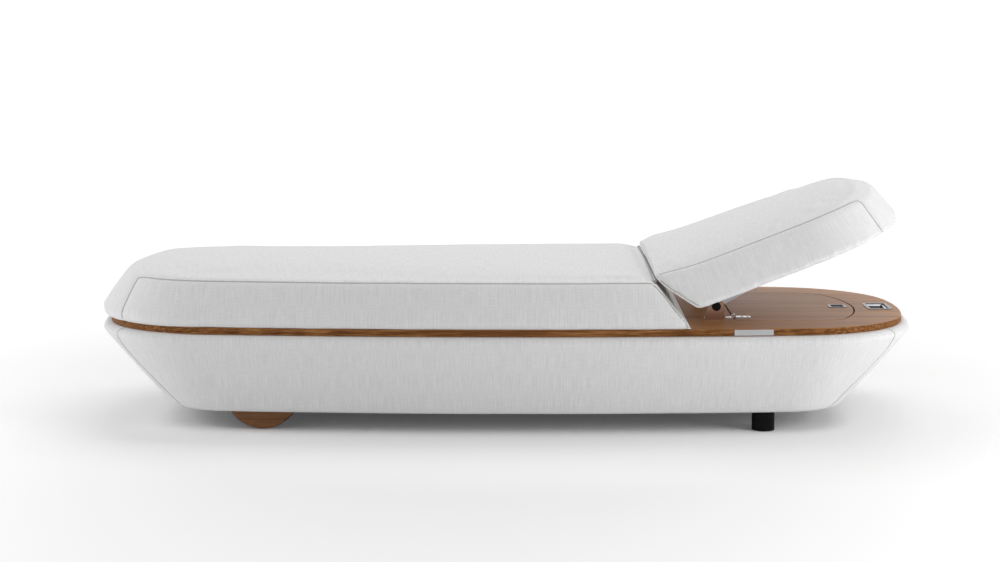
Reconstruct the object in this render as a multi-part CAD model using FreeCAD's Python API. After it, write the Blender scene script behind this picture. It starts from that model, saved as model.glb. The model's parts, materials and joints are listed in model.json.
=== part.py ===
import FreeCAD, Part
import math
import os

# Sun lounger: upholstered boat-shaped base, wood deck with a storage hatch, mattress, tilting head cushion.
# Millimetres. Origin on the floor under the middle. +X runs to the head end, +Z is up.

os.makedirs("parts", exist_ok=True)
V = FreeCAD.Vector

# Overall form of the base
base_half_length = 1037.0
base_half_width = 418.0
base_widest_height = 241.0
base_bottom_height = 50.0
base_end_rake = 166.0
base_side_rake = 96.0
panel_thickness = 24.0
panel_top_tuck = 22.0
panel_top_roll = 16.5
panel_roll_share = 0.6
panel_roll_tuck = 5.5
panel_bottom_tuck = 5.0
panel_bottom_roll = 9.0

# Plan curves: long sides, ends and corners are tangent arcs
side_radius = 7800.0
end_radius = 785.0
corner_radius = 293.0
bottom_end_radius = 640.0
bottom_corner_radius = 165.0
end_seam_inset = 180.0

# Deck board and its hatch
deck_end_inset = 21.0
deck_side_inset = 13.0
deck_thickness = 16.5
deck_edge_round = 2.0
hatch_length = 324.0
hatch_end_margin = 118.0
hatch_side_margin = 164.0
hatch_corner_radius = 22.0
hatch_end_radius = 480.0
hatch_tip_corner = 75.0
hatch_gap = 4.0

# Storage tub under the hatch
tub_wall = 4.0
tub_floor_height = 150.0
tub_inset = 12.0
tub_flange = 16.0

# Mattress
mattress_height = 113.0
mattress_crown = 15.0
mattress_end_inset = 1.0
mattress_side_inset = 4.0
mattress_end_rake = 64.0
mattress_side_rake = 32.0
mattress_bulge_height = 24.0
mattress_bottom_tuck = 9.0
mattress_side_bulge = 1.5
seam_round = 9.0
soft_gap = 0.3
# Rolled top seam: height above the axis and draw-in, both as shares of seam_round
seam_profile = ((-1.0, 0.0), (0.0, 0.35), (0.7, 1.6))
crown_draw_in = 36.0
# Foot of the cover: height and tuck as shares of the bulge height and the bottom tuck
foot_profile = ((0.0, 1.0), (0.4, 0.3), (1.0, 0.0))

# Head cushion and its tilt
head_length = 672.0
split_slope = 88.0
head_lift = 17.0
head_crown = 22.0
head_draw_in = 28.0
head_rest_tilt = 20.5
head_tilt_up = 10.0
welt_radius = 5.0
welt_groove_margin = 6.0
lean_margin = 2.0
split_gap = 1.0
head_board_thickness = 12.0
head_board_inset = 70.0

# Support of the head cushion: bracket plates, bosses, stay arms, rollers and tracks
bracket_inset = 6.0
bracket_thickness = 5.0
bracket_margin = 43.0
bracket_length = 50.0
bracket_height = 48.0
bracket_foot = 16.0
bracket_slant = 16.0
bracket_corner = 9.0
boss_inset = 20.0
boss_lift = 35.0
boss_radius = 11.0
boss_length = 7.0
boss_pin_radius = 4.0
boss_pin_stand = 2.0
stay_length = 130.0
stay_width = 12.0
stay_thickness = 5.7
stay_angle = 29.1
stay_hub_radius = 9.0
roller_radius = 5.0
roller_width = 12.0
roller_spacing = 8.0
roller_pin_radius = 2.5
roller_pin_gap = 0.1
roller_pin_stand = 1.0
track_thickness = 3.0
track_width = 18.0
track_margin = 35.0
track_length = 112.0
pocket_clearance = 6.0
pocket_swing = 17.0

# Lid hinges
lid_hinge_inset = 38.0
hinge_width = 24.0
hinge_leaf_length = 24.0
hinge_leaf_thickness = 2.5
hinge_strap_length = 42.0
hinge_strap_thickness = 4.0
hinge_barrel_radius = 5.0
hinge_pin_radius = 2.5
hinge_gap = 0.3
hinge_pin_grip = 0.1
hinge_pin_stand = 1.0

# Ring pull in the lid and lift handle in the deck
pull_margin = 37.0
pull_length = 46.0
pull_width = 50.0
pull_corner = 8.0
pull_wire = 2.2
handle_margin = 51.0
handle_length = 64.0
handle_width = 106.0
handle_corner = 10.0
handle_wire = 3.2
dish_depth = 9.5
dish_rim = 5.0
dish_rim_thickness = 1.5
dish_floor = 1.5
bail_gap = 0.3
bail_bend = 2.0
bail_pin_share = 0.7
bail_pin_cover = 1.0
hollow_corner = 0.75

# Bare plate on the long edge of the deck
plate_margin = 30.0
plate_length = 96.0
plate_height = 14.0
plate_thickness = 1.2

# Wheels and axle
wheel_margin = 429.0
wheel_radius = 95.0
wheel_inset = 34.27
wheel_width = 40.0
tyre_thickness = 11.0
tyre_width = 30.0
wheel_face_radius = 93.0
wheel_edge_round = 3.0
tyre_edge_round = 4.0
bush_radius = 12.0
axle_radius = 8.0
axle_gap = 0.3
axle_bracket_thickness = 6.0
axle_bracket_gap = 0.5
axle_bracket_width = 60.0
axle_bracket_foot = 30.0
axle_bracket_crown = 26.0
axle_bracket_round = 15.6
ring_thickness = 3.0
ring_radius = 14.0
wheel_opening_gap = 10.0

# Legs
leg_margin = 393.0
leg_inset = 39.37
leg_radius = 28.3
stud_radius = 5.0
stud_depth = 25.0
stud_rise = 14.0
nut_radius = 9.0
nut_height = 8.0
washer_radius = 14.0
washer_thickness = 2.0
glide_radius = 23.0
glide_recess = 3.0
glide_stand = 1.5

# Inner carcass
bottom_board_thickness = 15.0
rib_thickness = 18.0
rib_end_margin = 41.0
rib_wheel_margin = 148.0
rib_split_margin = 12.0
rib_hatch_margin = 44.0
rib_head_margin = 26.0
screw_head_radius = 4.5
screw_radius = 2.5
deck_screw_inset = 72.0
deck_screw_length = 45.0
plate_screw_length = 14.0

# Cuts run past the faces that they open by this much
overcut = 1.0

# Places and sizes that follow from the base's length and width
bottom_half_length = base_half_length - base_end_rake
bottom_half_width = base_half_width - base_side_rake
end_seam_offset = base_half_width - end_seam_inset
deck_half_length = base_half_length - deck_end_inset
deck_half_width = base_half_width - deck_side_inset
deck_screw_offset = bottom_half_width - deck_screw_inset
hatch_tip = deck_half_length - hatch_end_margin
hatch_left = hatch_tip - hatch_length
hatch_half_width = deck_half_width - hatch_side_margin
lid_hinge_offset = hatch_half_width - lid_hinge_inset
pull_x = hatch_tip - pull_margin
handle_x = deck_half_length - handle_margin
plate_x = hatch_left + plate_margin
mattress_half_length = base_half_length - mattress_end_inset
mattress_half_width = base_half_width - mattress_side_inset
mattress_top_half_width = mattress_half_width - mattress_side_rake
split_top = mattress_half_length - head_length
split_bottom = split_top + split_slope
bracket_left = split_bottom + bracket_margin
bracket_right = bracket_left + bracket_length
bracket_offset = hatch_half_width - bracket_inset
boss_x = bracket_right - boss_inset
track_start = boss_x + track_margin
wheel_x = wheel_margin - base_half_length
wheel_side_fall = side_radius - math.sqrt(side_radius ** 2 - wheel_x ** 2)
wheel_face_offset = bottom_half_width - wheel_side_fall - wheel_inset
leg_x = base_half_length - leg_margin
leg_side_fall = side_radius - math.sqrt(side_radius ** 2 - leg_x ** 2)
leg_offset = bottom_half_width - leg_side_fall - leg_inset
rib_wheels_x = wheel_x + rib_wheel_margin
rib_split_x = split_bottom - rib_split_margin
rib_places = {
    "rib_foot": rib_end_margin - bottom_half_length,
    "rib_wheels": rib_wheels_x,
    "rib_middle": (rib_wheels_x + rib_split_x) / 2,
    "rib_split": rib_split_x,
    "rib_hatch": hatch_left - rib_hatch_margin,
    "rib_head": hatch_tip + rib_head_margin,
}
screwed_ribs = ("rib_foot", "rib_wheels", "rib_middle", "rib_split")

# Heights
deck_underside = base_widest_height + panel_top_roll
deck_top = deck_underside + deck_thickness
axis_z = deck_top + mattress_height
head_under = deck_top + head_lift
boss_z = deck_top + boss_lift
board_top = base_bottom_height + bottom_board_thickness


def plan_arcs(half_length, half_width, r_side, r_end, r_corner):
    """Tangent points of the first quadrant and the arc middles between them."""
    ys = half_width - r_side
    xe = half_length - r_end
    reach_side = r_side - r_corner
    reach_end = r_end - r_corner
    span = math.hypot(xe, ys)
    along = (reach_side ** 2 - reach_end ** 2 + span ** 2) / (2 * span)
    across = math.sqrt(reach_side ** 2 - along ** 2)
    ux = xe / span
    uy = -ys / span
    cx = along * ux + across * uy
    cy = ys + along * uy - across * ux
    other_x = along * ux - across * uy
    other_y = ys + along * uy + across * ux
    if other_x + other_y > cx + cy:
        cx = other_x
        cy = other_y
    end_angle = math.atan2(cy, cx - xe)
    side_angle = math.atan2(cy - ys, cx)
    mid = (end_angle + side_angle) / 2
    tangent_end = (xe + r_end * math.cos(end_angle), r_end * math.sin(end_angle))
    tangent_side = (r_side * math.cos(side_angle), ys + r_side * math.sin(side_angle))
    middle = (cx + r_corner * math.cos(mid), cy + r_corner * math.sin(mid))
    return tangent_end, middle, tangent_side


def plan_wire(z, half_length, half_width, r_side, r_end, r_corner):
    """Closed plan outline at height z, of eight arcs, symmetric about both axes."""
    te, mid, ts = plan_arcs(half_length, half_width, r_side, r_end, r_corner)

    def p(xy, sx, sy):
        return V(sx * xy[0], sy * xy[1], z)

    quarters = [(1, 1), (-1, 1), (-1, -1), (1, -1)]
    edges = []
    for i, (sx, sy) in enumerate(quarters):
        first, last = (te, ts) if sx * sy > 0 else (ts, te)
        edges.append(Part.Arc(p(first, sx, sy), p(mid, sx, sy), p(last, sx, sy)).toShape())
        nx, ny = quarters[(i + 1) % 4]
        if sx * sy > 0:
            edges.append(Part.Arc(p(ts, sx, sy), V(0, sy * half_width, z), p(ts, nx, ny)).toShape())
        else:
            edges.append(Part.Arc(p(te, sx, sy), V(sx * half_length, 0, z), p(te, nx, ny)).toShape())
    return Part.Wire(edges)


def box(x0, x1, y0, y1, z0, z1):
    return Part.makeBox(x1 - x0, y1 - y0, z1 - z0, V(x0, y0, z0))


def cylinder_y(radius, x, z, y0, y1):
    return Part.makeCylinder(radius, y1 - y0, V(x, y0, z), V(0, 1, 0))


def prism(points, z0, z1):
    """Upright prism over a closed plan polygon of (x, y) points."""
    corners = [V(x, y, z0) for x, y in points]
    return Part.Face(Part.makePolygon(corners + corners[:1])).extrude(V(0, 0, z1 - z0))


def side_prism(points, y0, y1):
    """Prism along Y over a closed side-view polygon of (x, z) points."""
    corners = [V(x, y0, z) for x, z in points]
    return Part.Face(Part.makePolygon(corners + corners[:1])).extrude(V(0, y1 - y0, 0))


def rounded_plate(x0, x1, y0, y1, z0, z1, radius):
    plate = box(x0, x1, y0, y1, z0, z1)
    upright = [e for e in plate.Edges if abs(e.tangentAt(e.FirstParameter).z) > 0.99]
    return plate.makeFillet(radius, upright)


def mirrored(shape):
    return shape.mirror(V(0, 0, 0), V(0, 1, 0))


def pair(shape):
    return Part.makeCompound([shape, mirrored(shape)])


def at_rest(shape):
    """Turns a shape drawn with the head cushion flat to the tilt at which it rests."""
    turned = shape.copy()
    turned.rotate(V(split_top, 0, axis_z), V(0, 1, 0), -head_rest_tilt)
    return turned


def save(name, shape):
    shape.exportStep("parts/" + name + ".step")


def countersunk_screw(x, y, z_top, length, direction=-1):
    """Screw whose flat head ends at z_top; direction -1 drives down, 1 drives up."""
    way = V(0, 0, direction)
    head_depth = screw_head_radius - screw_radius
    head = Part.makeCone(screw_head_radius, screw_radius, head_depth, V(x, y, z_top), way)
    shank = Part.makeCylinder(screw_radius, length, V(x, y, z_top), way)
    return head.fuse(shank)


# Base panels

def base_section(z, inset):
    """Plan outline of the base at height z, drawn in by inset."""
    share = (z - base_bottom_height) / (base_widest_height - base_bottom_height)
    share = min(share, 1.0)

    def between(low, high):
        return low + (high - low) * share

    return plan_wire(
        z,
        between(bottom_half_length, base_half_length) - inset,
        between(bottom_half_width, base_half_width) - inset,
        side_radius,
        between(bottom_end_radius, end_radius) - inset,
        between(bottom_corner_radius, corner_radius) - inset,
    )


def base_loft(inset):
    """Solid body of the base, drawn in all round by inset."""
    levels = [
        (base_bottom_height, panel_bottom_tuck),
        (base_bottom_height + panel_bottom_roll, 0.0),
        (base_widest_height - panel_top_roll, 0.0),
        (base_widest_height, 0.0),
        (base_widest_height + panel_roll_share * panel_top_roll, panel_roll_tuck),
        (deck_underside, panel_top_tuck),
    ]
    return Part.makeLoft([base_section(z, tuck + inset) for z, tuck in levels], True, True)


outer_body = base_loft(0.0)
inner_body = base_loft(panel_thickness)
wheel_room = cylinder_y(wheel_radius + wheel_opening_gap / 2, wheel_x, wheel_radius,
                        0.0, wheel_face_offset + wheel_opening_gap / 2)
panel_ring = outer_body.cut(inner_body).cut(pair(wheel_room))

# The seams between side and end panels run up each corner in an upright plane
far_x = 2.0 * base_half_length
end_block = box(bottom_half_length / 2, far_x, -end_seam_offset, end_seam_offset, 0.0, deck_top)
head_end_panel = panel_ring.common(end_block)
foot_end_panel = head_end_panel.mirror(V(0, 0, 0), V(1, 0, 0))
side_block = box(-far_x, far_x, -far_x, 0.0, 0.0, deck_top)
foot_block = end_block.mirror(V(0, 0, 0), V(1, 0, 0))
front_panel = panel_ring.common(side_block).cut(end_block).cut(foot_block)
save("base_panel_head", head_end_panel)
save("base_panel_foot", foot_end_panel)
save("base_panel_front", front_panel)
save("base_panel_back", mirrored(front_panel))

# Carcass: bottom board and cross ribs follow the inside of the panels

carcass_body = base_loft(panel_thickness + soft_gap)
wheel_in = wheel_face_offset - wheel_width
opening_x = wheel_radius + wheel_opening_gap
opening_low = wheel_in - axle_bracket_gap
opening_high = wheel_face_offset + wheel_opening_gap
bottom_board = carcass_body.common(
    box(-far_x, far_x, -far_x, far_x, base_bottom_height, board_top))
wheel_opening = box(
    wheel_x - opening_x, wheel_x + opening_x, opening_low, opening_high, 0.0, board_top + overcut)
bottom_board = bottom_board.cut(wheel_opening).cut(mirrored(wheel_opening))
stud_hole = Part.makeCylinder(stud_radius, board_top, V(leg_x, leg_offset, 0.0))
save("bottom_board", bottom_board.cut(pair(stud_hole)))

deck_screws = [
    countersunk_screw(rib_places[name], side * deck_screw_offset, deck_top, deck_screw_length)
    for name in screwed_ribs for side in (-1, 1)]
deck_screw_group = Part.makeCompound(deck_screws)
for name, place in rib_places.items():
    slab = box(place - rib_thickness / 2, place + rib_thickness / 2,
               -far_x, far_x, board_top, deck_underside)
    save(name, carcass_body.common(slab).cut(deck_screw_group))
save("deck_screws", deck_screw_group)

# Deck board with the hatch opening, the handle recess and the hatch lid

def hatch_wire(z, grow):
    """D-shaped outline: straight hinge side with small corners, wide arc at the tip."""
    left = hatch_left - grow
    half = hatch_half_width + grow
    r = hatch_corner_radius + grow
    slant = r * (1 - math.sqrt(0.5))
    r_end = hatch_end_radius + grow
    r_tip = hatch_tip_corner + grow
    end_centre = hatch_tip - hatch_end_radius
    tip_y = hatch_half_width - hatch_tip_corner
    tip_x = end_centre + math.sqrt((hatch_end_radius - hatch_tip_corner) ** 2 - tip_y ** 2)
    turn = math.atan2(tip_y, tip_x - end_centre)
    mid = (turn + math.pi / 2) / 2
    touch = V(tip_x + r_tip * math.cos(turn), tip_y + r_tip * math.sin(turn), z)
    bend = V(tip_x + r_tip * math.cos(mid), tip_y + r_tip * math.sin(mid), z)
    upper = [
        Part.Arc(V(left, half - r, z), V(left + slant, half - slant, z), V(left + r, half, z)).toShape(),
        Part.LineSegment(V(left + r, half, z), V(tip_x, half, z)).toShape(),
        Part.Arc(V(tip_x, half, z), bend, touch).toShape(),
    ]
    lower = [mirrored(edge) for edge in upper]
    tip = Part.Arc(touch, V(end_centre + r_end, 0, z), V(touch.x, -touch.y, z)).toShape()
    hinge_side = Part.LineSegment(V(left, r - half, z), V(left, half - r, z)).toShape()
    return Part.Wire(Part.__sortEdges__(upper + [tip] + lower + [hinge_side]))


def hatch_prism(grow, z0, z1):
    return Part.Face(hatch_wire(z0, grow)).extrude(V(0, 0, z1 - z0))


def flush_handle(x, length, width, corner, wire):
    """Dish with a rim, the bail that lies in it, and the cut that seats the dish. Top at deck height."""
    x0 = x - length / 2
    x1 = x + length / 2
    y1 = width / 2
    seat = rounded_plate(x0 + dish_rim, x1 - dish_rim, dish_rim - y1, y1 - dish_rim,
                         deck_top - dish_depth, deck_top, corner - dish_rim / 2)
    rim = rounded_plate(x0, x1, -y1, y1, deck_top, deck_top + dish_rim_thickness, corner)
    wall = dish_rim + wire
    hollow = rounded_plate(x0 + wall, x1 - wall, wall - y1, y1 - wall,
                           deck_top - dish_depth + dish_floor, deck_top + dish_rim_thickness + overcut,
                           hollow_corner)
    bail_z = deck_top - dish_depth + dish_floor + bail_gap + wire
    pivot_x = x0 + wall + bail_gap + wire
    grip_x = x1 - wall - bail_gap - wire
    leg_y = y1 - wall - bail_gap - wire
    bend = bail_bend * wire
    pin_radius = bail_pin_share * wire
    reach = y1 - dish_rim - bail_pin_cover
    leg = Part.makeCylinder(wire, grip_x - bend - pivot_x, V(pivot_x, leg_y, bail_z), V(1, 0, 0))
    knuckle = Part.makeSphere(wire, V(pivot_x, leg_y, bail_z))
    pin = cylinder_y(pin_radius, pivot_x, bail_z, leg_y, reach)
    ring = Part.Circle(V(grip_x - bend, leg_y, bail_z), V(1, 0, 0), wire).toShape()
    disc = Part.Face(Part.Wire([ring]))
    elbow = disc.revolve(V(grip_x - bend, leg_y - bend, bail_z), V(0, 0, 1), -90)
    grip = cylinder_y(wire, grip_x, bail_z, bend - leg_y, leg_y - bend)
    half = [leg, knuckle, pin, elbow]
    bail = grip.fuse(half + [mirrored(piece) for piece in half]).removeSplitter()
    hole = cylinder_y(pin_radius + bail_gap, pivot_x, bail_z, -reach - bail_gap, reach + bail_gap)
    dish = seat.fuse(rim).cut(hollow).cut(hole)
    return dish, bail, seat, (pivot_x, bail_z)


deck = Part.Face(plan_wire(deck_underside, deck_half_length, deck_half_width,
                           side_radius, end_radius, corner_radius)).extrude(V(0, 0, deck_thickness))
rims = [e for e in deck.Edges if abs(e.BoundBox.ZLength) < 0.01]
deck = deck.makeFillet(deck_edge_round, rims)
deck = deck.cut(hatch_prism(hatch_gap, deck_underside - overcut, deck_top + overcut))
handle_dish, handle_bail, handle_seat, handle_axis = flush_handle(
    handle_x, handle_length, handle_width, handle_corner, handle_wire)
deck = deck.cut(handle_seat).cut(deck_screw_group)
save("lift_handle_dish", handle_dish)
save("lift_handle_bail", handle_bail)

lid = hatch_prism(0.0, deck_underside + soft_gap, deck_top)
pull_dish, pull_bail, pull_seat, pull_axis = flush_handle(
    pull_x, pull_length, pull_width, pull_corner, pull_wire)
save("hatch_lid", lid.cut(pull_seat))
save("lid_pull_dish", pull_dish)
save("lid_pull_bail", pull_bail)

# Storage tub hung by its flange under the deck; the lid closes on the flange

tub = hatch_prism(-tub_inset, tub_floor_height, deck_underside)
flange = hatch_prism(tub_flange, deck_underside - tub_wall, deck_underside)
tub_hollow = hatch_prism(-tub_inset - tub_wall, tub_floor_height + tub_wall, deck_underside + overcut)
save("storage_tub", tub.fuse(flange).cut(tub_hollow))

# Bare plate let into the deck's long edge

edge_y = side_radius - deck_half_width
plate_y = math.sqrt(side_radius ** 2 - plate_x ** 2) - edge_y
plate_z = deck_underside + deck_thickness / 2
plate_box = box(plate_x - plate_length / 2, plate_x + plate_length / 2, -plate_y - plate_thickness,
                -plate_y + 2 * plate_thickness, plate_z - plate_height / 2, plate_z + plate_height / 2)
plate_turn = math.degrees(math.asin(plate_x / side_radius))
plate_box.rotate(V(plate_x, -plate_y, plate_z), V(0, 0, 1), plate_turn)
save("edge_plate", plate_box)

# Lid hinges: two strap hinges over the straight side of the hatch

hinge_x = hatch_left - hatch_gap / 2
hinge_z = deck_top + hinge_barrel_radius + hinge_gap
knuckle_low = lid_hinge_offset - hinge_width / 4
knuckle_high = lid_hinge_offset + hinge_width / 4
hinge_low = lid_hinge_offset - hinge_width / 2
hinge_high = lid_hinge_offset + hinge_width / 2
middle_room = cylinder_y(hinge_barrel_radius + hinge_gap, hinge_x, hinge_z,
                         knuckle_low - hinge_gap, knuckle_high + hinge_gap)
leaf = box(hinge_x - hinge_barrel_radius - hinge_leaf_length, hinge_x, hinge_low, hinge_high,
           deck_top, deck_top + hinge_leaf_thickness)
barrel = cylinder_y(hinge_barrel_radius, hinge_x, hinge_z, hinge_low, hinge_high)
pin_hole = cylinder_y(hinge_pin_radius + hinge_pin_grip, hinge_x, hinge_z, hinge_low, hinge_high)
deck_leaf = leaf.fuse(barrel).cut(middle_room).cut(pin_hole)
strap_start = hinge_x + hinge_gap
strap = box(strap_start, hinge_x + hinge_strap_length, hinge_low, hinge_high,
            deck_top, deck_top + hinge_strap_thickness)
outer_room = cylinder_y(hinge_barrel_radius + hinge_gap, hinge_x, hinge_z, hinge_low, knuckle_low)
other_room = cylinder_y(hinge_barrel_radius + hinge_gap, hinge_x, hinge_z, knuckle_high, hinge_high)
strap_knuckle = cylinder_y(hinge_barrel_radius, hinge_x, hinge_z, knuckle_low, knuckle_high)
free_hole = cylinder_y(hinge_pin_radius + hinge_gap, hinge_x, hinge_z, hinge_low, hinge_high)
lid_strap = strap.cut(outer_room).cut(other_room).fuse(strap_knuckle).cut(free_hole)
pin = cylinder_y(hinge_pin_radius, hinge_x, hinge_z,
                 hinge_low - hinge_pin_stand, hinge_high + hinge_pin_stand)
save("hinge_deck_leaves", pair(deck_leaf))
save("hinge_lid_straps", pair(lid_strap))
save("hinge_pins", pair(pin))

# Bracket plates with bosses

bracket_in = bracket_offset - bracket_thickness / 2
bracket_out = bracket_offset + bracket_thickness / 2
bracket = side_prism(
    [(bracket_left, deck_top), (bracket_right, deck_top), (bracket_right, deck_top + bracket_height),
     (bracket_left + bracket_slant, deck_top + bracket_height)], bracket_in, bracket_out)
tops = [e for e in bracket.Edges
        if abs(e.BoundBox.YLength - bracket_thickness) < 0.01 and e.BoundBox.ZMin > deck_top + overcut]
bracket = bracket.makeFillet(bracket_corner, tops)
foot = box(bracket_left, bracket_right, bracket_in - bracket_foot, bracket_in,
           deck_top, deck_top + bracket_thickness)
foot_y = bracket_in - bracket_foot / 2
foot_screws = [
    countersunk_screw(x, foot_y, deck_top + bracket_thickness, plate_screw_length)
    for x in (bracket_left + bracket_foot / 2, bracket_right - bracket_foot / 2)]
foot_screw_group = Part.makeCompound(foot_screws)
boss_hole = cylinder_y(boss_pin_radius, boss_x, boss_z, bracket_in - overcut, bracket_out + overcut)
bracket = bracket.fuse(foot).cut(foot_screw_group).cut(boss_hole)
save("deck_board", deck.cut(plate_box).cut(pair(foot_screw_group)))
save("bracket_front", mirrored(bracket))
save("bracket_back", bracket)
save("bracket_screws", pair(foot_screw_group))
stay_out = bracket_in - soft_gap
stay_in = stay_out - stay_thickness
boss = cylinder_y(boss_radius, boss_x, boss_z, bracket_out, bracket_out + boss_length)
boss_pin = cylinder_y(boss_pin_radius, boss_x, boss_z, stay_in - boss_pin_stand, bracket_out)
save("ratchet_bosses", pair(boss.fuse(boss_pin)))

# Stay arms with rollers, drawn at rest

stay_dx = stay_length * math.cos(math.radians(stay_angle))
stay_dz = stay_length * math.sin(math.radians(stay_angle))
roller_x = boss_x + stay_dx
roller_z = boss_z + stay_dz
arm_bar = box(0.0, stay_length, stay_in, stay_out, -stay_width / 2, stay_width / 2)
arm_end = cylinder_y(stay_width / 2, stay_length, 0.0, stay_in, stay_out)
arm_hub = cylinder_y(stay_hub_radius, 0.0, 0.0, stay_in, stay_out)
arm = arm_bar.fuse([arm_end, arm_hub])
arm = arm.cut(cylinder_y(boss_pin_radius + soft_gap, 0.0, 0.0, stay_in - overcut, stay_out + overcut))
arm = arm.cut(cylinder_y(roller_pin_radius, stay_length, 0.0, stay_in - overcut, stay_out + overcut))
arm.rotate(V(0, 0, 0), V(0, 1, 0), -stay_angle)
arm.translate(V(boss_x, 0, boss_z))
save("stay_arm_back", arm)
save("stay_arm_front", mirrored(arm))
roller_out = stay_in - roller_spacing
roller_in = roller_out - roller_width
roller_pin = cylinder_y(roller_pin_radius, roller_x, roller_z, roller_in - roller_pin_stand, stay_out)
roller = cylinder_y(roller_radius, roller_x, roller_z, roller_in, roller_out)
roller = roller.cut(cylinder_y(roller_pin_radius + roller_pin_gap, roller_x, roller_z, roller_in, roller_out))
save("roller_pins", pair(roller_pin))
save("stay_rollers", pair(roller))

# Mattress and head cushion share one boxed form with a crown, parted by a sloped cut at the pivot

def cushion_body(z_bottom, draw_in, crown):
    """Boxed cushion over the whole deck: tucked foot, bulge, inward sides, rolled top seam, crown.

    draw_in shortens the bulge at the ends, so that the end stands more upright.
    """
    bulge_z = deck_top + mattress_bulge_height

    def section(z, tuck):
        share = max(0.0, (z - bulge_z) / (axis_z - bulge_z))
        in_end = share * mattress_end_rake + tuck + (1.0 - share) * draw_in
        in_side = share * mattress_side_rake + tuck
        return plan_wire(z, mattress_half_length - in_end, mattress_half_width - in_side,
                         side_radius, end_radius - in_end, corner_radius - in_end)

    rise = bulge_z - z_bottom
    foot_tuck = mattress_bottom_tuck * rise / mattress_bulge_height
    levels = [(z_bottom + up * rise, tuck * foot_tuck) for up, tuck in foot_profile]
    levels.append(((bulge_z + axis_z) / 2, -mattress_side_bulge))
    levels += [(axis_z + up * seam_round, tuck * seam_round) for up, tuck in seam_profile]
    levels.append((axis_z + crown + overcut, crown_draw_in))
    body = Part.makeLoft([section(z, tuck) for z, tuck in levels], True, True)
    half = mattress_top_half_width
    arc = Part.Arc(V(-far_x, -half, axis_z + overcut), V(-far_x, 0, axis_z + crown),
                   V(-far_x, half, axis_z + overcut)).toShape()
    walls = Part.makePolygon([V(-far_x, half, axis_z + overcut), V(-far_x, 2 * half, axis_z + overcut),
                              V(-far_x, 2 * half, 0), V(-far_x, -2 * half, 0),
                              V(-far_x, -2 * half, axis_z + overcut), V(-far_x, -half, axis_z + overcut)])
    under_crown = Part.Face(Part.Wire([arc] + walls.Edges)).extrude(V(2 * far_x, 0, 0))
    return body.common(under_crown)


welt_room = cylinder_y(welt_radius + soft_gap, split_top, axis_z, -far_x, far_x)
groove = head_crown + welt_groove_margin
lean = groove * math.tan(math.radians(head_rest_tilt + head_tilt_up + lean_margin))
head_side = side_prism(
    [(split_top - split_gap, axis_z + groove), (split_top - split_gap, axis_z),
     (split_bottom - split_gap, deck_top), (split_bottom - split_gap, 0.0),
     (far_x, 0.0), (far_x, axis_z + groove)], -far_x, far_x)
foot_side = side_prism(
    [(split_top + split_gap + lean, axis_z + groove), (split_top + split_gap, axis_z),
     (split_bottom + split_gap, deck_top), (split_bottom + split_gap, 0.0),
     (-far_x, 0.0), (-far_x, axis_z + groove)], -far_x, far_x)
mattress = cushion_body(deck_top + soft_gap, 0.0, mattress_crown).cut(head_side).cut(welt_room)
save("mattress", mattress)
welt_half = mattress_top_half_width - 3.0 * seam_round
save("hinge_welt", cylinder_y(welt_radius, split_top, axis_z, -welt_half, welt_half))

head_body = cushion_body(head_under, head_draw_in, head_crown).cut(foot_side).cut(welt_room)
pocket_in = stay_in - roller_spacing / 2
pocket_out = bracket_out + boss_length + pocket_clearance
pocket = box(bracket_left - pocket_swing - pocket_clearance, boss_x + stay_length,
             pocket_in, pocket_out, head_under - overcut, deck_top + bracket_height + pocket_clearance)
pockets = pair(pocket)
board_left = split_bottom + split_gap + head_board_inset / 3
board_section = plan_wire(head_under, mattress_half_length - head_draw_in - 2 * head_board_inset,
                          mattress_half_width - head_board_inset, side_radius,
                          end_radius - 2 * head_board_inset, corner_radius - 2 * head_board_inset)
board = Part.Face(board_section).extrude(V(0, 0, head_board_thickness))
board = board.common(box(board_left, far_x, -far_x, far_x, 0.0, axis_z))
board_recess = Part.Face(board_section).extrude(V(0, 0, head_board_thickness + soft_gap))
board_recess = board_recess.common(box(board_left, far_x, -far_x, far_x, 0.0, axis_z))
save("head_cushion", at_rest(head_body.cut(board_recess).cut(pockets)))
save("head_board", at_rest(board.cut(pockets)))
track_middle = (roller_in + roller_out) / 2
track = box(track_start, track_start + track_length,
            track_middle - track_width / 2, track_middle + track_width / 2,
            head_under - track_thickness, head_under)
save("stay_tracks", at_rest(pair(track)))

# Wheels on a through axle

axle_z = wheel_radius
tyre_inner = wheel_radius - tyre_thickness
disc = cylinder_y(wheel_face_radius, wheel_x, axle_z, wheel_in + tyre_width, wheel_face_offset)
face_rim = [e for e in disc.Edges if abs(e.BoundBox.YMin - wheel_face_offset) < 0.01]
disc = disc.makeFillet(wheel_edge_round, face_rim)
disc = disc.fuse(cylinder_y(tyre_inner, wheel_x, axle_z, wheel_in, wheel_in + tyre_width))
disc = disc.cut(cylinder_y(bush_radius, wheel_x, axle_z, wheel_in, wheel_face_offset))
tyre = cylinder_y(wheel_radius, wheel_x, axle_z, wheel_in, wheel_in + tyre_width)
tyre = tyre.makeFillet(tyre_edge_round, [e for e in tyre.Edges if e.BoundBox.YLength < 0.01])
tyre = tyre.cut(cylinder_y(tyre_inner, wheel_x, axle_z, wheel_in - overcut, wheel_face_offset))
bush = cylinder_y(bush_radius, wheel_x, axle_z, wheel_in, wheel_face_offset)
bush = bush.cut(cylinder_y(axle_radius + axle_gap, wheel_x, axle_z, 0.0, wheel_face_offset + overcut))
for side, turn in (("back", lambda shape: shape), ("front", mirrored)):
    save("wheel_disc_" + side, turn(disc))
    save("wheel_tyre_" + side, turn(tyre))
    save("wheel_bush_" + side, turn(bush))
ring_low = wheel_face_offset + axle_gap
axle_end = ring_low + ring_thickness
save("axle", cylinder_y(axle_radius, wheel_x, axle_z, -axle_end, axle_end))
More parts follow.
